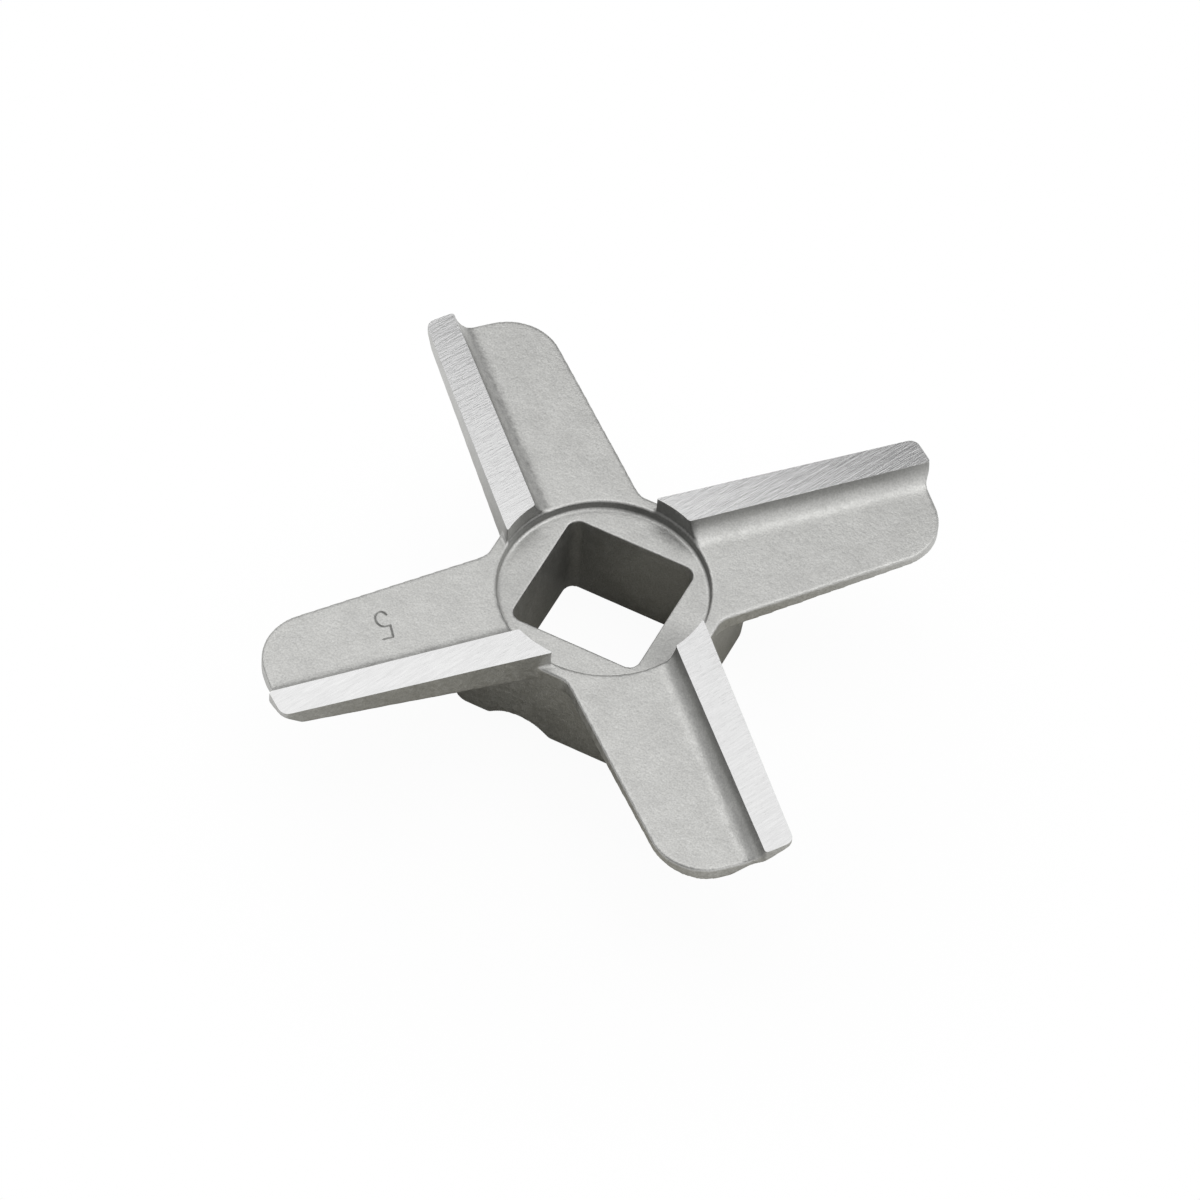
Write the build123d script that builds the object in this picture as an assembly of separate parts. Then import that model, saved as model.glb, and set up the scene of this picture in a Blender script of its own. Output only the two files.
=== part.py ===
"""Cross blade for a size 5 meat grinder: one cast steel piece, millimetres, +Z up.

The origin is on the hub's axis, in the plane of the hub's lower face.  The four cutting lands
lie in one plane at the top and run against the hole plate.  The flats of the square drive hole
are parallel to X and Y, so the arms lie on the diagonals.

Each arm is drawn in its own frame: u runs outwards from the axis and v runs towards the leading
side, which is the side that the cutting edge is on.
"""
from build123d import *
from math import cos, pi, radians, sin, sqrt, tan
import os

# ---- overall ---------------------------------------------------------------------------------
sweep_diameter = 47.0          # circle that the outer ends of the cutting lands turn in
total_height = 9.1             # hub's lower face to the cutting lands
arm_count = 4
first_arm_bearing = -135.0     # degrees from +X

# ---- hub -------------------------------------------------------------------------------------
drive_square = 9.0             # across the flats of the drive hole
drive_corner_radius = 0.8
drive_turn = 45.0              # degrees from an arm's bearing to a flat of the drive hole
hub_foot_width = 14.7          # across the flats at the hub's lower face
hub_draft = 3.3                # degrees, each side leans out towards the arms
hub_corner_radius = 1.5
hub_foot_edge = 0.25           # rounding of the lower edge
recess_diameter = 13.9         # round recess in the hub's upper face, at its rim
recess_depth = 0.67
recess_wall_lean = 5.0         # degrees, the recess narrows towards its floor

# ---- arched grooves in the lower edge of each side of the hub --------------------------------
groove_width = 4.45
groove_rise = 1.12
groove_depth = 1.5             # into the side of the hub, at its lower face
groove_shift = 2.05            # from the middle of the side, clockwise seen from above

# ---- arm outline, seen from above ------------------------------------------------------------
cutting_edge_offset = 4.95     # leading face from the arm's centre line
paddle_reach = 22.85           # axis to the end of the paddle behind the land
trailing_offset_root = 4.51    # trailing edge from the centre line, at root_station
trailing_offset_tip = 2.96     # the same, at tip_station
paddle_corner_radius = 3.6     # outer trailing corner
heel_run = 0.7                 # length in which the land's end steps back to the paddle's end
heel_outer_radius = 0.45
heel_inner_radius = 1.0
land_tip_radius = 0.65         # outer leading corner
root_fillet_radius = 2.0       # trailing edge into the side of the hub

# ---- arm section -----------------------------------------------------------------------------
root_station = 7.0             # distances from the axis at which the sections are given
tip_station = 22.85
land_recess_diameter = 14.2    # circle that the inner ends of the lands stop at
land_width_root = 2.33
land_width_tip = 2.02
land_height = 1.33             # lands above the paddles and the hub's upper face
land_back_lean = 18.0          # degrees from vertical, the wall behind the land
land_back_fillet = 1.3         # from that wall into the paddle
leading_height_root = 2.46     # depth of the leading face below the land
leading_height_tip = 1.27
trailing_depth_root = 2.58     # depth of the trailing edge's lower corner below the land
trailing_depth_tip = 1.98
belly_depth_root = 2.72        # depth of the underside below the land, on the centre line
belly_depth_tip = 2.38

# ---- slanting facet under the outer leading corner -------------------------------------------
facet_run = 1.45               # along the leading face, inwards from the corner
facet_reach = 4.0              # across the end, from the leading face
facet_lip = 0.30               # height left at the corner itself

# ---- worked out from the above ---------------------------------------------------------------
sweep_radius = sweep_diameter / 2
hub_top = total_height - land_height
half_pitch = pi / arm_count
past = 5.0                     # how far cutting shapes run past the metal
standing = (Align.CENTER, Align.CENTER, Align.MIN)


def between(u, at_root, at_tip):
    """A size at distance u from the axis, on the straight line through its two given values."""
    return at_root + (at_tip - at_root) * (u - root_station) / (tip_station - root_station)


def trailing_v(u):
    return -between(u, trailing_offset_root, trailing_offset_tip)


def hub_apothem(z):
    """Half the hub's width across its flats at height z."""
    return hub_foot_width / 2 + z * tan(radians(hub_draft))


def belly_z(u, v):
    """Height of the underside: a shallow parabola across the arm, through three heights."""
    lead_v, trail_v = cutting_edge_offset, trailing_v(u)
    middle = between(u, belly_depth_root, belly_depth_tip)
    lead_rise = middle - between(u, leading_height_root, leading_height_tip)
    trail_rise = middle - between(u, trailing_depth_root, trailing_depth_tip)
    bend = (lead_rise / lead_v - trail_rise / trail_v) / (lead_v - trail_v)
    slope = lead_rise / lead_v - bend * lead_v
    return total_height - middle + slope * v + bend * v * v


def round_corners(face, corners):
    """Fillet a flat face at the given (x, y) corners, each with its own radius."""
    for x, y, radius in corners:
        nearest = face.vertices().sort_by_distance(Vector(x, y, 0))[0]
        face = fillet(nearest, radius)
    return face


def hub_outline(z):
    outline = RegularPolygon(hub_apothem(z), arm_count, major_radius=False,
                             rotation=first_arm_bearing)
    return Pos(0, 0, z) * fillet(outline.vertices(), hub_corner_radius)


def hub_body():
    """Hub with leaning sides, its corners under the arms, and a rounded lower edge."""
    body = loft([hub_outline(0), hub_outline(hub_top)], ruled=True)
    lower_edges = body.faces().sort_by(Axis.Z)[0].edges()
    return fillet(lower_edges, hub_foot_edge)


def arm_outline():
    """The arm seen from above, from inside the hub to the land's and the paddle's ends."""
    edge_v = cutting_edge_offset
    tip = (sqrt(sweep_radius**2 - edge_v**2), edge_v)
    heel_v = edge_v - land_width_tip
    heel = (sqrt(sweep_radius**2 - heel_v**2), heel_v)
    paddle_end = (paddle_reach, heel_v - heel_run)
    paddle_corner = (paddle_reach, trailing_v(paddle_reach))
    # where the trailing edge meets the side of the hub, at the height of the arm's underside
    side_apothem = hub_apothem(total_height - trailing_depth_root)
    taper = (trailing_offset_root - trailing_offset_tip) / (tip_station - root_station)
    trailing_at_axis = -trailing_v(0)
    root_u = (side_apothem - trailing_at_axis * sin(half_pitch)) / (
        cos(half_pitch) - taper * sin(half_pitch))
    root = (root_u, trailing_v(root_u))
    along_side = (root[0] - root_fillet_radius * sin(half_pitch),
                  root[1] - root_fillet_radius * cos(half_pitch))
    middle_v = (edge_v + heel_v) / 2
    land_end = (sqrt(sweep_radius**2 - middle_v**2), middle_v)
    outline = make_face([
        Line((0, edge_v), tip),
        ThreePointArc(tip, land_end, heel),
        Polyline(heel, paddle_end, paddle_corner, root, along_side, (0, -edge_v), (0, edge_v)),
    ])
    return round_corners(outline, [
        (*tip, land_tip_radius),
        (*heel, heel_outer_radius),
        (*paddle_end, heel_inner_radius),
        (*paddle_corner, paddle_corner_radius),
        (*root, root_fillet_radius),
    ])


def relief_section(u):
    """Section of the space above the paddle, behind the land, at distance u from the axis."""
    top = total_height + past
    wall_v = cutting_edge_offset - between(u, land_width_root, land_width_tip)
    foot_v = wall_v - land_height * tan(radians(land_back_lean))
    far_v = -sweep_radius
    points = [(wall_v, top), (wall_v, total_height), (foot_v, hub_top), (far_v, hub_top),
              (far_v, top)]
    section = round_corners(make_face(Polyline(*points, close=True)),
                            [(foot_v, hub_top, land_back_fillet)])
    return Plane(origin=(u, 0, 0), x_dir=(0, 1, 0), z_dir=(1, 0, 0)) * section


def belly_section(u):
    """Section of the space below the underside at distance u from the axis."""
    start, end = trailing_v(u) - past, cutting_edge_offset + past
    middle = (start + end) / 2
    # the middle control point lies where the parabola's two end tangents cross
    crossing = 2 * belly_z(u, middle) - (belly_z(u, start) + belly_z(u, end)) / 2
    curve = Bezier((start, belly_z(u, start)), (middle, crossing), (end, belly_z(u, end)))
    below = Polyline((start, belly_z(u, start)), (start, -past), (end, -past),
                     (end, belly_z(u, end)))
    return Plane(origin=(u, 0, 0), x_dir=(0, 1, 0), z_dir=(1, 0, 0)) * make_face([curve, below])


def facet_plane():
    """Plane of the slanting facet; the metal is on its upper side."""
    corner_u = sqrt(sweep_radius**2 - cutting_edge_offset**2)
    corner = Vector(corner_u, cutting_edge_offset, total_height - facet_lip)
    inner_u = corner_u - facet_run
    inner = Vector(inner_u, cutting_edge_offset, belly_z(inner_u, cutting_edge_offset))
    across_v = cutting_edge_offset - facet_reach
    across = Vector(paddle_reach, across_v, belly_z(paddle_reach, across_v))
    normal = (across - corner).cross(inner - corner)
    if normal.Z < 0:
        normal = -normal
    return Plane(origin=corner, x_dir=inner - corner, z_dir=normal)


def arm_body():
    """One arm along +X: outline, relief behind the land, underside, facet, land's inner end."""
    arm = extrude(arm_outline(), total_height)
    far_u = sweep_radius + past
    arm -= loft([relief_section(0), relief_section(far_u)], ruled=True)
    arm -= loft([belly_section(0), belly_section(far_u)], ruled=True)
    arm = split(arm, bisect_by=facet_plane(), keep=Keep.TOP)
    land_stop = Cylinder(land_recess_diameter / 2, past, align=standing)
    return arm - Pos(0, 0, hub_top) * land_stop


def recess():
    """Round recess in the hub's upper face, a little narrower at its floor."""
    lean = tan(radians(recess_wall_lean))
    rim = recess_diameter / 2
    above = land_height / 2
    cone = Cone(rim - recess_depth * lean, rim + above * lean, recess_depth + above,
                align=standing)
    return Pos(0, 0, hub_top - recess_depth) * cone


def drive_hole():
    square = RectangleRounded(drive_square, drive_square, drive_corner_radius)
    turned = Rot(0, 0, first_arm_bearing + drive_turn) * square
    return extrude(Pos(0, 0, -past) * turned, total_height + 2 * past)


def side_groove():
    """Arched groove across the lower edge of the side that faces +X."""
    radius = (groove_width**2 / 4 + groove_rise**2) / (2 * groove_rise)
    inner_x = hub_foot_width / 2 - groove_depth
    bar = Cylinder(radius, groove_depth + past, rotation=(0, 90, 0), align=standing)
    return Pos(inner_x, -groove_shift, groove_rise - radius) * bar


def knife():
    body = hub_body()
    arm = arm_body()
    groove = side_groove()
    pitch = 360 / arm_count
    for i in range(arm_count):
        body += Rot(0, 0, first_arm_bearing + i * pitch) * arm
    for i in range(arm_count):
        body -= Rot(0, 0, first_arm_bearing + (i + 0.5) * pitch) * groove
    body -= recess()
    return body - drive_hole()


os.makedirs("parts", exist_ok=True)
part = knife()
export_step(part, "parts/grinder_knife.step")
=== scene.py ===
"""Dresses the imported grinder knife: blasted casting, ground lands, soft studio light and camera."""
import bmesh
import bpy
from math import ceil, cos, hypot, pi, radians, sin
from mathutils import Matrix, Vector, noise


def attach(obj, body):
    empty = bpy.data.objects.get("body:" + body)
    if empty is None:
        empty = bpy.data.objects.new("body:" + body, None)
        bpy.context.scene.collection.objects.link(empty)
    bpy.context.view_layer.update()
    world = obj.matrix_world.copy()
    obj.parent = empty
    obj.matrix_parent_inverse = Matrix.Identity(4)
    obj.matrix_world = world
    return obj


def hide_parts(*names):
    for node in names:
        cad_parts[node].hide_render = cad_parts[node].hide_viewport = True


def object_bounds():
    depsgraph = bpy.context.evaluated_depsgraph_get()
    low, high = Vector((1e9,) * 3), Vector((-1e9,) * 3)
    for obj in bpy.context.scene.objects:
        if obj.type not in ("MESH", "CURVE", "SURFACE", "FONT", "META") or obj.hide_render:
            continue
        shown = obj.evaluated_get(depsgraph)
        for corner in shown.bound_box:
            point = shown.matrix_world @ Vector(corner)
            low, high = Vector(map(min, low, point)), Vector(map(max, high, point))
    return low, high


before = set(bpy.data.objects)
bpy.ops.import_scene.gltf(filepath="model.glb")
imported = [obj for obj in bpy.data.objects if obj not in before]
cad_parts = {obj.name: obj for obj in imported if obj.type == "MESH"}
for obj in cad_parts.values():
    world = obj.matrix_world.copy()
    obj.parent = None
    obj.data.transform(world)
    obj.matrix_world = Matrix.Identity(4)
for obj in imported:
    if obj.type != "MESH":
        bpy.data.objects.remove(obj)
cad_low, cad_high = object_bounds()

MM = 0.001

# ---- the knife, as the frame gives it; u runs out along an arm, v to its leading side -----------
NODE = "grinder_knife"
LAND_Z = cad_high.z                  # plane of the ground lands
LAND_HEIGHT = 1.33 * MM              # lands above the paddles and the hub's upper face
PADDLE_Z = LAND_Z - LAND_HEIGHT
ARM_BEARING = radians(-135)          # the arm that carries the size numeral
ARM_PITCH = radians(90)
ARM_COUNT = 4

# ---- visual mesh: cast with soft edges and a grinding allowance, then ground flat ---------------
WELD = 0.002 * MM
CUT_CLOSE = WELD / 4                 # points this close to a cutting plane count as on it
LEVEL = 0.999                        # upright part of a level face's normal
NEARLY_LEVEL = 0.99
ALLOWANCE = 0.40 * MM                # stands above the lands until they are ground
SKIN_CELL = 0.10 * MM                # cell size of the skin before it is thinned out
SOFTENING = {"factor": 0.5, "iterations": 3}     # rounds the cast edges
KEPT_SHARE = 0.34                    # share of the skin's triangles that is kept
LAND_CELL = 0.8 * MM

# ---- unevenness of the casting ------------------------------------------------------------------
WANDER = ((3.7 * MM, 0.014 * MM), (0.9 * MM, 0.004 * MM))    # wave length, size
WANDER_SEED = 5
SETTLE = 0.25 * MM                   # height over which it dies out towards a ground plane

# ---- painted shade on the recess's wall, behind the lands, and in patches -----------------------
WALL_NORMAL = (0.9, 0.4)             # upright part of the normal where a wall begins, and is full
RECESS_WALL = 7.0 * MM               # radius of the recess's wall and the lands' inner ends
RECESS_FLOOR = 7.0 * MM              # height just below the recess's floor
SHADE_EDGE = 0.3 * MM                 # width in which the painted shade begins or ends
SHADE_FRONT = -1.5 * MM               # along Y, the painted shade on the recess's wall is faint in front of this place
SHADE_BACK = 3.0 * MM                 # and full behind this one
FAINT_SHARE = 0.2
WALL_BACK = (0.9 * MM, 3.0 * MM)     # across the arm, where the wall behind a land lies
WALL_SHARE = 0.75                    # strength of the painted shade on that wall
WALL_SHADE_PATCHES = (((-4.5 * MM, 4.5 * MM), 6.0 * MM, 0.45),)     # painted shade in the drive hole's back left corner: place, reach and strength
FLOOR_SHADE_PATCHES = (                     # painted shade in patches on the recess's floor, with the same columns
    ((5.7 * MM, -2.2 * MM), 3.3 * MM, 0.55),
    ((-5.0 * MM, -3.2 * MM), 4.5 * MM, 0.20),
)

# ---- size numeral, engraved in one paddle -------------------------------------------------------
NUMERAL_PLACE = (14.08 * MM, -2.10 * MM)     # u and v of its lower left corner
NUMERAL_WIDTH = 0.80 * MM
NUMERAL_HEIGHT = 2.15 * MM
NUMERAL_STROKE = 0.085 * MM          # half the width of the engraved line
NUMERAL_MARGIN = 3 * NUMERAL_STROKE  # kept round the numeral in fine cells
NUMERAL_DEPTH = 0.07 * MM
NUMERAL_CELL = 0.032 * MM
TOP_SPARE = 0.05 * MM                # the paddle's face lies this close to its plane
BAR_ENDS = (0.95, 0.12)              # ends of the five's top bar, as shares of its width
WAIST = 0.56                         # where the bowl begins, as a share of the height
BOWL_WIDTH = 0.52                    # half the bowl's width, as a share of the width
BOWL_SWEEP = radians(245)
BOWL_STEPS = 14


def ramp(x, start, end):
    """0 before the start, 1 past the end, and a smooth step between them."""
    t = min(max((x - start) / (end - start), 0.0), 1.0)
    return t * t * (3 - 2 * t)


def in_arm(co, bearing):
    """A point's places u and v in the frame of the arm with this bearing."""
    u = co.x * cos(bearing) + co.y * sin(bearing)
    v = -co.x * sin(bearing) + co.y * cos(bearing)
    return u, v


def in_own_arm(co):
    """The same, in the frame of the arm that the point belongs to."""
    for i in range(ARM_COUNT):
        u, v = in_arm(co, ARM_BEARING + i * ARM_PITCH)
        if u > abs(v):
            break
    return u, v


# ---- mesh ---------------------------------------------------------------------------------------
def raw_casting(source):
    """The CAD mesh in one skin, with the grinding allowance standing on each land."""
    bm = bmesh.new()
    bm.from_mesh(source)
    bmesh.ops.remove_doubles(bm, verts=bm.verts, dist=WELD)
    level = [f for f in bm.faces if f.normal.z > LEVEL]
    lands = [f for f in level if f.calc_center_median().z > LAND_Z - WELD]
    raised = bmesh.ops.extrude_face_region(bm, geom=lands)["geom"]
    bmesh.ops.delete(bm, geom=lands, context="FACES")
    for part in raised:
        if isinstance(part, bmesh.types.BMVert):
            part.co.z += ALLOWANCE
    mesh = bpy.data.meshes.new("raw_casting")
    bm.to_mesh(mesh)
    bm.free()
    return mesh


def worked(mesh, modifiers):
    """A copy of the mesh with modifiers applied, each given as a kind and its settings."""
    piece = bpy.data.objects.new("worked", mesh)
    bpy.context.scene.collection.objects.link(piece)
    for kind, settings in modifiers:
        modifier = piece.modifiers.new(kind.lower(), kind)
        for name, value in settings.items():
            setattr(modifier, name, value)
    bpy.context.view_layer.update()
    made = bpy.data.meshes.new_from_object(
        piece.evaluated_get(bpy.context.evaluated_depsgraph_get()))
    bpy.data.objects.remove(piece)
    return made


def softened(mesh):
    """The skin in small cells in line with the arms, with the edges that a casting has."""
    turn = Matrix.Rotation(-ARM_BEARING, 4, "Z")
    mesh.transform(turn)
    skin_and_shade = worked(mesh, [
        ("REMESH", {"mode": "VOXEL", "voxel_size": SKIN_CELL}),
        ("SMOOTH", SOFTENING),
    ])
    skin_and_shade.transform(turn.inverted())
    return skin_and_shade


def unsettle(bm):
    """Moves each point of the casting a little; the planes of the lands and the foot stay flat."""
    noise.seed_set(WANDER_SEED)
    for vert in bm.verts:
        shift = Vector((0, 0, 0))
        for length, size in WANDER:
            shift += size * noise.noise_vector(vert.co / length)
        gap = min(abs(LAND_Z - vert.co.z), vert.co.z - cad_low.z)
        shift.z *= ramp(gap, 0, SETTLE)
        vert.co += shift


def uneven(mesh):
    """The skin made uneven, and with fewer triangles where it is nearly flat."""
    bm = bmesh.new()
    bm.from_mesh(mesh)
    unsettle(bm)
    bm.to_mesh(mesh)
    bm.free()
    bm = bmesh.new()
    bm.from_mesh(worked(mesh, [("DECIMATE", {"ratio": KEPT_SHARE})]))
    return bm


def with_borders(faces):
    """The faces with all their edges and points, each once."""
    edges = [e for f in faces for e in f.edges]
    verts = [v for f in faces for v in f.verts]
    return list(dict.fromkeys(faces + edges + verts))


def grind(bm):
    """Cuts the allowance off level, which leaves the four lands with crisp edges."""
    everything = bm.verts[:] + bm.edges[:] + bm.faces[:]
    cut = bmesh.ops.bisect_plane(bm, geom=everything, plane_co=Vector((0, 0, LAND_Z)),
                                 plane_no=Vector((0, 0, 1)), dist=CUT_CLOSE, clear_outer=True)
    rims = [e for e in cut["geom_cut"] if isinstance(e, bmesh.types.BMEdge)]
    lands = bmesh.ops.edgeloop_fill(bm, edges=rims)["faces"]
    for face in lands:
        face.material_index = 1
        if face.normal.z < 0:
            face.normal_flip()
    return with_borders(lands)


def slice_along(bm, geometry, bearing, low, high, cell):
    """Cuts the geometry by upright planes, a cell apart along the bearing."""
    way = Vector((cos(bearing), sin(bearing), 0))
    count = ceil((high - low) / cell)
    for i in range(1, count):
        place = way * (low + (high - low) * i / count)
        cut = bmesh.ops.bisect_plane(bm, geom=geometry, plane_co=place, plane_no=way,
                                     dist=CUT_CLOSE)
        geometry = cut["geom"]
    return geometry


def numeral_strokes():
    """The numeral five as straight strokes and one bowl, from its lower left corner."""
    waist = WAIST * NUMERAL_HEIGHT
    bowl_rx, bowl_ry = BOWL_WIDTH * NUMERAL_WIDTH, waist / 2
    centre = (NUMERAL_WIDTH - bowl_rx, bowl_ry)
    strokes = [(end * NUMERAL_WIDTH, NUMERAL_HEIGHT) for end in BAR_ENDS]
    strokes += [(0.0, waist), (centre[0], waist)]
    for i in range(1, BOWL_STEPS + 1):
        turn = pi / 2 - BOWL_SWEEP * i / BOWL_STEPS
        strokes.append((centre[0] + bowl_rx * cos(turn), centre[1] + bowl_ry * sin(turn)))
    return strokes


def distance_to(strokes, x, y):
    """From a point to the nearest of the straight strokes."""
    gaps = []
    for (ax, ay), (bx, by) in zip(strokes, strokes[1:]):
        dx, dy = bx - ax, by - ay
        t = min(max(((x - ax) * dx + (y - ay) * dy) / (dx * dx + dy * dy), 0.0), 1.0)
        gaps.append(hypot(x - ax - t * dx, y - ay - t * dy))
    return min(gaps)


def engrave(bm):
    """Cuts the numeral's strokes into the paddle; the layer says how deep each point lies."""
    depth = bm.verts.layers.float.new("engraved")
    u0, v0 = NUMERAL_PLACE
    u_low, u_high = u0 - NUMERAL_MARGIN, u0 + NUMERAL_WIDTH + NUMERAL_MARGIN
    v_low, v_high = v0 - NUMERAL_MARGIN, v0 + NUMERAL_HEIGHT + NUMERAL_MARGIN

    def inside(co):
        u, v = in_arm(co, ARM_BEARING)
        return abs(co.z - PADDLE_Z) < TOP_SPARE and u_low < u < u_high and v_low < v < v_high

    nearly_level = [f for f in bm.faces if f.normal.z > NEARLY_LEVEL]
    geometry = with_borders([f for f in nearly_level if inside(f.calc_center_median())])
    geometry = slice_along(bm, geometry, ARM_BEARING, u_low, u_high, NUMERAL_CELL)
    slice_along(bm, geometry, ARM_BEARING + ARM_PITCH, v_low, v_high, NUMERAL_CELL)
    strokes = numeral_strokes()
    for vert in bm.verts:
        if inside(vert.co):
            u, v = in_arm(vert.co, ARM_BEARING)
            vert[depth] = ramp(distance_to(strokes, u - u0, v - v0), NUMERAL_STROKE, 0)
            vert.co.z -= NUMERAL_DEPTH * vert[depth]


def shade_patch(co, patches):
    """How strongly the strongest patch of painted shade at a point darkens it."""
    strongest = 0.0
    for (x, y), reach, share in patches:
        strongest = max(strongest, share * ramp(hypot(co.x - x, co.y - y), reach, 0))
    return strongest


def paint_shade(bm):
    """Marks painted shade: on the recess's wall, darker towards the back, on the wall behind each
    land, and in patches on the drive hole's walls and the recess's floor.
    """
    painted_shade = bm.verts.layers.float.new("painted_shade")
    for vert in bm.verts:
        reach = hypot(vert.co.x, vert.co.y)
        wall = ramp(abs(vert.normal.z), *WALL_NORMAL)
        skin_and_shade = ramp(reach, RECESS_WALL - 2 * SHADE_EDGE, RECESS_WALL - SHADE_EDGE)
        skin_and_shade *= ramp(reach, RECESS_WALL + 2 * SHADE_EDGE, RECESS_WALL + SHADE_EDGE)
        skin_and_shade *= ramp(vert.co.z, RECESS_FLOOR, RECESS_FLOOR + SHADE_EDGE)
        skin_and_shade *= FAINT_SHARE + (1 - FAINT_SHARE) * ramp(vert.co.y, SHADE_FRONT, SHADE_BACK)
        if reach > RECESS_WALL:
            v = in_own_arm(vert.co)[1]
            if WALL_BACK[0] < v < WALL_BACK[1]:
                skin_and_shade = max(skin_and_shade, WALL_SHARE * ramp(vert.co.z, PADDLE_Z, LAND_Z))
        else:
            skin_and_shade = max(skin_and_shade, shade_patch(vert.co, WALL_SHADE_PATCHES))
        # painted shade, on upright faces only
        vert[painted_shade] = wall * skin_and_shade
        if reach < RECESS_WALL and vert.co.z > RECESS_FLOOR:
            vert[painted_shade] += (1 - wall) * shade_patch(vert.co, FLOOR_SHADE_PATCHES)


def knife_mesh():
    bm = uneven(softened(raw_casting(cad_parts[NODE].data)))
    lands = grind(bm)
    reach = hypot(cad_high.x, cad_high.y)
    for bearing in (ARM_BEARING, ARM_BEARING + ARM_PITCH):
        lands = slice_along(bm, lands, bearing, -reach, reach, LAND_CELL)
    engrave(bm)
    bm.normal_update()
    paint_shade(bm)
    for vert in bm.verts:
        vert.co = [min(max(place, lo), hi) for place, lo, hi in zip(vert.co, cad_low, cad_high)]
    bmesh.ops.triangulate(bm, faces=bm.faces[:])
    for face in bm.faces:
        face.smooth = True
    for edge in bm.edges:
        edge.smooth = len({face.material_index for face in edge.link_faces}) == 1
    mesh = bpy.data.meshes.new("dressed_knife")
    bm.to_mesh(mesh)
    bm.free()
    return mesh


# ---- shader nodes -------------------------------------------------------------------------------
def new_node(tree, kind, **settings):
    made = tree.nodes.new("ShaderNode" + kind)
    for name, value in settings.items():
        setattr(made, name, value)
    return made


def new_material(name):
    material = bpy.data.materials.new(name)
    material.use_nodes = True
    tree = material.node_tree
    shader = tree.nodes["Principled BSDF"]
    return material, tree, shader


def feed(tree, socket, value):
    """Sets a socket to a plain number, or links another node's output to it."""
    if isinstance(value, (int, float)):
        socket.default_value = value
    else:
        tree.links.new(value, socket)


def in_mm(tree, turn=0.0, stretch=(1, 1, 1)):
    """Object coordinates in millimetres, turned about Z and stretched."""
    coordinates = new_node(tree, "TexCoord")
    turned = new_node(tree, "Mapping")
    turned.inputs["Rotation"].default_value = (0, 0, turn)
    stretched = new_node(tree, "Mapping")
    stretched.inputs["Scale"].default_value = [s / MM for s in stretch]
    tree.links.new(coordinates.outputs["Object"], turned.inputs["Vector"])
    tree.links.new(turned.outputs["Vector"], stretched.inputs["Vector"])
    return stretched.outputs["Vector"]


def noise_at(tree, vector, scale, detail):
    texture = new_node(tree, "TexNoise")
    texture.inputs["Scale"].default_value = scale
    texture.inputs["Detail"].default_value = detail
    tree.links.new(vector, texture.inputs["Vector"])
    return texture.outputs["Fac"]


def spread(tree, value, source, target, how="LINEAR"):
    """Maps a value from one range to another, which may end on another node's output."""
    mapped = new_node(tree, "MapRange", interpolation_type=how)
    feed(tree, mapped.inputs["Value"], value)
    ends = ("From Min", "From Max", "To Min", "To Max")
    for name, end in zip(ends, (*source, *target)):
        feed(tree, mapped.inputs[name], end)
    return mapped.outputs["Result"]


def combine(tree, how, a, b):
    maths = new_node(tree, "Math", operation=how)
    feed(tree, maths.inputs[0], a)
    feed(tree, maths.inputs[1], b)
    return maths.outputs["Value"]


def tinted(tree, colour, factor):
    """A colour times a factor that varies over the surface."""
    scaled = new_node(tree, "VectorMath", operation="SCALE")
    scaled.inputs[0].default_value = colour
    tree.links.new(factor, scaled.inputs["Scale"])
    return scaled.outputs["Vector"]


def bumped(tree, height, depth, shader):
    bump = new_node(tree, "Bump")
    bump.inputs["Strength"].default_value = 1.0
    bump.inputs["Distance"].default_value = depth
    tree.links.new(height, bump.inputs["Height"])
    tree.links.new(bump.outputs["Normal"], shader.inputs["Normal"])


# ---- steel --------------------------------------------------------------------------------------
NOISE_RANGE = (0.3, 0.7)             # where nearly all values of a noise lie

CAST_COLOUR = (0.56, 0.56, 0.545)
CLOUDS = (0.7, 3.0)                  # noises: waves to a millimetre, and detail
GRAIN = (8.0, 2.0)
PITS = (3.0, 3.0)
CLOUDS_TONE = (0.95, 1.05)           # how they lighten and darken the colour
GRAIN_TONE = (0.88, 1.12)
PITS_TONE = (0.94, 1.06)
MARK_TONE = 0.45                     # the engraved line, and full painted shade
CAST_ROUGHNESS = (0.40, 0.54)
PITS_SHARE = 2.2                     # depth of the pits as a share of the grain's
CAST_DEPTH = 0.008 * MM

LAND_COLOUR = (0.53, 0.53, 0.53)
GRIND_BEARING = radians(65)          # the way in which the grinding streaks run
GRIND_STRETCH = (0.08, 1.0, 1.0)
STREAKS = (4.5, 5.0)
FINE_STREAKS = (16.0, 3.0)
STREAKS_RANGE = (0.7, 1.3)           # where nearly all sums of the two noises lie
STREAKS_TONE = (0.91, 1.09)
LAND_ROUGHNESS = (0.11, 0.18)
STREAKS_DEPTH = 0.006 * MM


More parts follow.
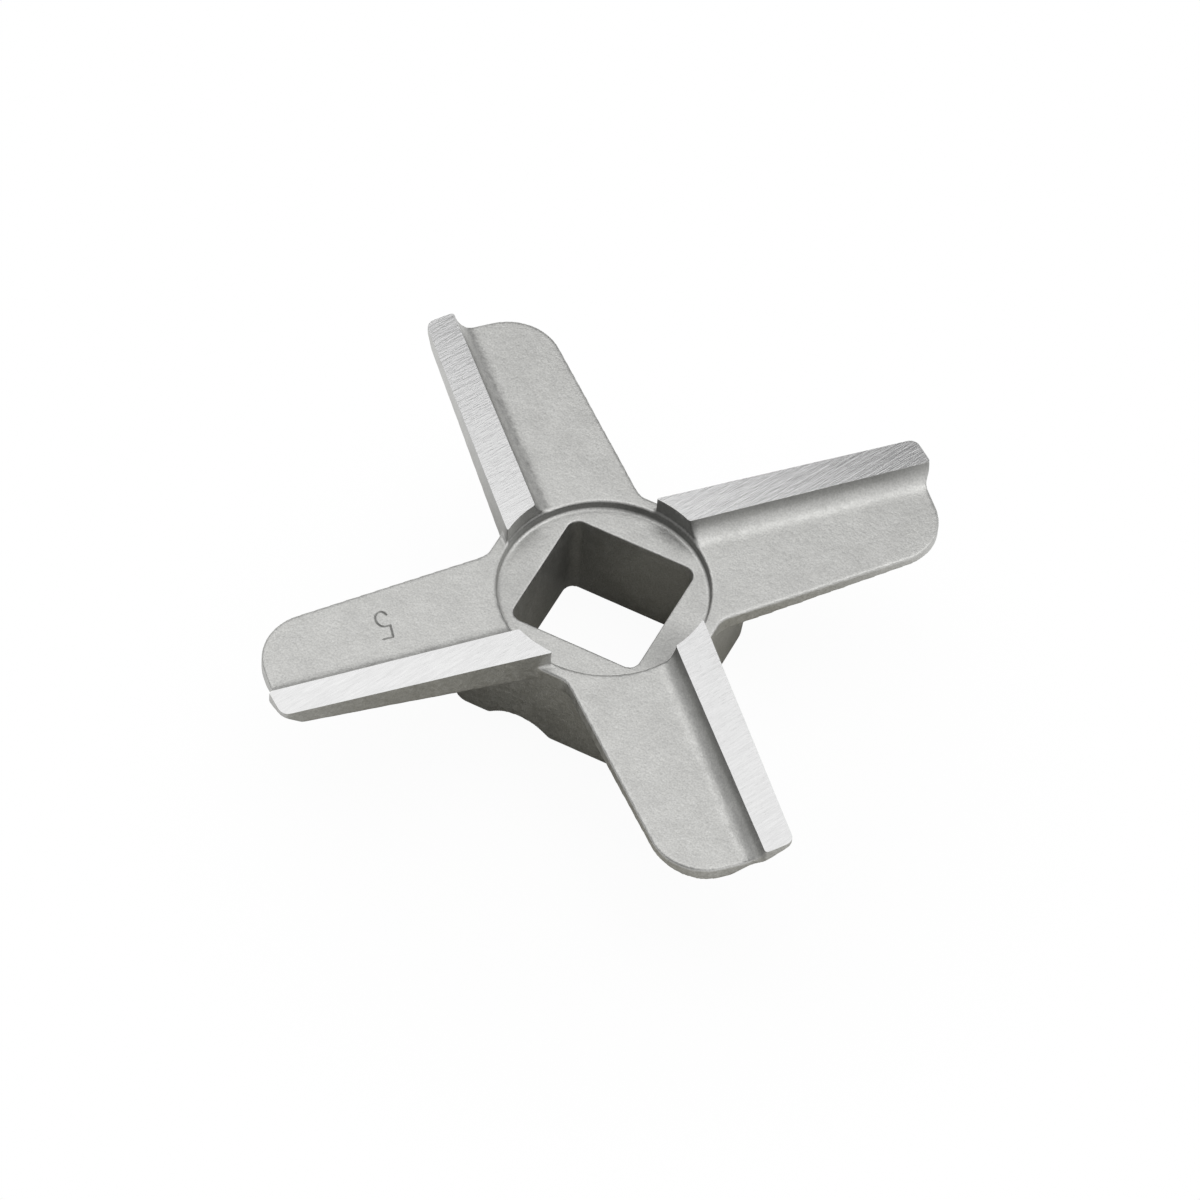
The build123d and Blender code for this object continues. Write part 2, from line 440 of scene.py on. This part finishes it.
def cast_steel():
    """Steel casting with a fine blasted grain."""
    material, tree, shader = new_material("cast_steel_blasted")
    shader.inputs["Metallic"].default_value = 1.0
    vector = in_mm(tree)
    clouds = noise_at(tree, vector, *CLOUDS)
    grain = noise_at(tree, vector, *GRAIN)
    pits = noise_at(tree, vector, *PITS)
    shade = spread(tree, clouds, NOISE_RANGE, CLOUDS_TONE)
    for texture, tone in ((grain, GRAIN_TONE), (pits, PITS_TONE)):
        shade = combine(tree, "MULTIPLY", shade, spread(tree, texture, NOISE_RANGE, tone))
    # darker where engraved, and where shade is painted on the walls and the recess's floor
    for mark in ("engraved", "painted_shade"):
        marked = new_node(tree, "Attribute", attribute_name=mark)
        dark = spread(tree, marked.outputs["Fac"], (0.0, 1.0), (1.0, MARK_TONE))
        shade = combine(tree, "MULTIPLY", shade, dark)
    tree.links.new(tinted(tree, CAST_COLOUR, shade), shader.inputs["Base Color"])
    rough = spread(tree, pits, NOISE_RANGE, CAST_ROUGHNESS)
    tree.links.new(rough, shader.inputs["Roughness"])
    height = combine(tree, "ADD", grain, combine(tree, "MULTIPLY", pits, PITS_SHARE))
    bumped(tree, height, CAST_DEPTH, shader)
    return material


def ground_steel():
    """Steel ground flat, with the wheel's streaks all one way."""
    material, tree, shader = new_material("cast_steel_ground")
    shader.inputs["Metallic"].default_value = 1.0
    vector = in_mm(tree, -GRIND_BEARING, GRIND_STRETCH)
    streaks = noise_at(tree, vector, *STREAKS)
    fine_streaks = noise_at(tree, vector, *FINE_STREAKS)
    both = combine(tree, "ADD", streaks, fine_streaks)
    shade = spread(tree, both, STREAKS_RANGE, STREAKS_TONE)
    tree.links.new(tinted(tree, LAND_COLOUR, shade), shader.inputs["Base Color"])
    rough = spread(tree, both, STREAKS_RANGE, LAND_ROUGHNESS)
    tree.links.new(rough, shader.inputs["Roughness"])
    bumped(tree, both, STREAKS_DEPTH, shader)
    return material


def dressed_knife():
    knife = bpy.data.objects.new("dressed_knife", knife_mesh())
    bpy.context.scene.collection.objects.link(knife)
    knife.data.materials.append(cast_steel())
    knife.data.materials.append(ground_steel())
    even = knife.modifiers.new("even_normals", "WEIGHTED_NORMAL")
    even.keep_sharp = True
    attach(knife, "root")
    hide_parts(NODE)


# ---- floor --------------------------------------------------------------------------------------
FLOOR_SIZE = 3.0
FLOOR_COLOUR = (0.34, 0.33, 0.29)    # as the knife mirrors it; the camera sees white
FLOOR_ROUGHNESS = 0.9
FLOOR_SHEEN = 0.1
FLOOR_PAINTED_LIGHT_SLOPE = (0.9, -0.5, 0.0)       # painted light: the way in which the floor gets brighter, except where the camera sees it
FLOOR_SPAN = (-3 * MM, 9 * MM)       # from where to where it does
FLOOR_PAINTED_LIGHT_TONE = (0.70, 1.40)
FLOOR_WHITE_SHARE = 0.95             # share of plain white that the camera sees near the knife
SHADOW_PLACE = (6 * MM, -8 * MM, 0)  # middle of the painted shadow on the floor, which the knife mirrors
SHADOW_REACH = (13 * MM, 36 * MM)    # from there, where the painted shadow begins to fade and is gone


def ray_kinds(tree):
    """1 for rays from the camera, and for rays that metal and glass send out."""
    path = new_node(tree, "LightPath")
    mirrored = combine(tree, "MAXIMUM", path.outputs["Is Glossy Ray"],
                       path.outputs["Is Transmission Ray"])
    return path.outputs["Is Camera Ray"], mirrored


def floor_paper():
    """White where the camera sees it, apart from a faint real shadow; the knife mirrors a warm grey
    with painted light and a painted shadow, and plain white further out.
    """
    material, tree, shader = new_material("floor_paper")
    shader.inputs["Roughness"].default_value = FLOOR_ROUGHNESS
    shader.inputs["Specular IOR Level"].default_value = FLOOR_SHEEN
    camera_ray, mirrored_ray = ray_kinds(tree)
    place = new_node(tree, "TexCoord").outputs["Object"]

    # painted light: where the camera doesn't see it, the floor's grey gets brighter one way
    painted_light_slope = new_node(tree, "VectorMath", operation="DOT_PRODUCT")
    painted_light_slope.inputs[1].default_value = FLOOR_PAINTED_LIGHT_SLOPE
    tree.links.new(place, painted_light_slope.inputs[0])
    shade = spread(tree, painted_light_slope.outputs["Value"], FLOOR_SPAN, FLOOR_PAINTED_LIGHT_TONE)
    paper = new_node(tree, "Mix", data_type="RGBA")
    tree.links.new(camera_ray, paper.inputs["Factor"])
    tree.links.new(tinted(tree, FLOOR_COLOUR, shade), paper.inputs[6])
    paper.inputs[7].default_value = (1, 1, 1, 1)
    tree.links.new(paper.outputs[2], shader.inputs["Base Color"])

    # painted shadow: near the knife, metal mirrors the grey floor with its real shading; further out,
    # plain white
    away = new_node(tree, "VectorMath", operation="DISTANCE")
    away.inputs[1].default_value = SHADOW_PLACE
    tree.links.new(place, away.inputs[0])
    outside = spread(tree, away.outputs["Value"], SHADOW_REACH, (0.0, 1.0), "SMOOTHSTEP")
    direct_share = spread(tree, outside, (0.0, 1.0), (FLOOR_WHITE_SHARE, 1.0))
    direct = combine(tree, "MULTIPLY", camera_ray, direct_share)
    mirrored = combine(tree, "MULTIPLY", mirrored_ray, outside)
    white = new_node(tree, "Emission")
    mix = new_node(tree, "MixShader")
    tree.links.new(combine(tree, "ADD", direct, mirrored), mix.inputs["Fac"])
    tree.links.new(shader.outputs["BSDF"], mix.inputs[1])
    tree.links.new(white.outputs["Emission"], mix.inputs[2])
    tree.links.new(mix.outputs["Shader"], tree.nodes["Material Output"].inputs["Surface"])
    return material


def floor():
    """A plain pale floor where the camera sees it, which keeps the knife's real shadow faintly; the
    knife mirrors painted light and a painted shadow on it.
    """
    mesh = bpy.data.meshes.new("floor")
    half = FLOOR_SIZE / 2
    corners = [(-half, -half, 0), (half, -half, 0), (half, half, 0), (-half, half, 0)]
    mesh.from_pydata(corners, [], [(0, 1, 2, 3)])
    plane = bpy.data.objects.new("floor", mesh)
    plane.location.z = cad_low.z
    bpy.context.scene.collection.objects.link(plane)
    plane.data.materials.append(floor_paper())


# ---- light --------------------------------------------------------------------------------------
HORIZON = (0.10, 0.14)               # sine of the elevation, the walls are white up to here
DIM_LEVEL = 0.15                     # the walls in front and behind
SIDE_WALLS = (                       # from and to how far along X they change, and their level
    ((0.0, 0.55), 1.02),
    ((-0.1, -0.6), 0.55),
)
WALL_RISE = (0.15, 0.50)             # sines of elevation between which they grow to full level
LOW_SHARE = 0.5                      # what they have of it at the bottom

LAMP_HEIGHT = 0.25
LAMP_DEPTH = (0.0, 0.192)            # front and back edge
LAMPS = (                            # name, left and right edge, radiance
    ("overhead", (-0.20, 0.20), 1.31),
    ("overhead_left", (-0.38, -0.20), 0.70),
)


def studio_walls():
    """White at the horizon; above it bright on the right, half as bright on the left, else dim."""
    world = bpy.data.worlds.new("studio")
    bpy.context.scene.world = world
    world.use_nodes = True
    tree = world.node_tree
    way = new_node(tree, "SeparateXYZ")
    tree.links.new(new_node(tree, "TexCoord").outputs["Generated"], way.inputs["Vector"])
    level = DIM_LEVEL
    for span, there in SIDE_WALLS:
        gain = spread(tree, way.outputs["X"], span, (0.0, there - DIM_LEVEL))
        level = combine(tree, "ADD", gain, level)
    rise = spread(tree, way.outputs["Z"], WALL_RISE, (LOW_SHARE, 1.0))
    level = combine(tree, "MULTIPLY", level, rise)
    strength = spread(tree, way.outputs["Z"], HORIZON, (1.0, level))
    background = tree.nodes["Background"]
    background.inputs["Color"].default_value = (1, 1, 1, 1)
    tree.links.new(strength, background.inputs["Strength"])


def softbox(name, across, radiance):
    """A level rectangle of soft light above the knife."""
    lamp = bpy.data.lights.new(name, "AREA")
    lamp.shape = "RECTANGLE"
    lamp.size = across[1] - across[0]
    lamp.size_y = LAMP_DEPTH[1] - LAMP_DEPTH[0]
    lamp.energy = radiance * pi * lamp.size * lamp.size_y
    box = bpy.data.objects.new(name, lamp)
    box.location = (sum(across) / 2, sum(LAMP_DEPTH) / 2, LAMP_HEIGHT)
    bpy.context.scene.collection.objects.link(box)


# ---- camera -------------------------------------------------------------------------------------
CAMERA_AIM = Vector((0.24, -1.04, 7.77)) * MM
CAMERA_AZIMUTH = radians(23.156)
CAMERA_ELEVATION = radians(53.284)
CAMERA_ROLL = radians(4.727)
CAMERA_DISTANCE = 415.95 * MM
CAMERA_LENS = 194.30
CAMERA_SENSOR = 36.0
CAMERA_CLIP = (10 * MM, 10.0)


def camera():
    lens = bpy.data.cameras.new("camera")
    lens.sensor_width = CAMERA_SENSOR
    lens.lens = CAMERA_LENS
    lens.clip_start, lens.clip_end = CAMERA_CLIP
    view = bpy.data.objects.new("camera", lens)
    back = Vector((sin(CAMERA_AZIMUTH) * cos(CAMERA_ELEVATION),
                   -cos(CAMERA_AZIMUTH) * cos(CAMERA_ELEVATION), sin(CAMERA_ELEVATION)))
    level = Vector((0, 0, 1)).cross(back).normalized()
    upright = back.cross(level)
    right = level * cos(CAMERA_ROLL) + upright * sin(CAMERA_ROLL)
    up = upright * cos(CAMERA_ROLL) - level * sin(CAMERA_ROLL)
    place = Matrix.Translation(CAMERA_AIM + back * CAMERA_DISTANCE)
    view.matrix_world = place @ Matrix((right, up, back)).transposed().to_4x4()
    bpy.context.scene.collection.objects.link(view)
    bpy.context.scene.camera = view


dressed_knife()
floor()
studio_walls()
for lamp_name, lamp_edges, lamp_radiance in LAMPS:
    softbox(lamp_name, lamp_edges, lamp_radiance)
camera()
bpy.context.scene.view_settings.view_transform = "Standard"
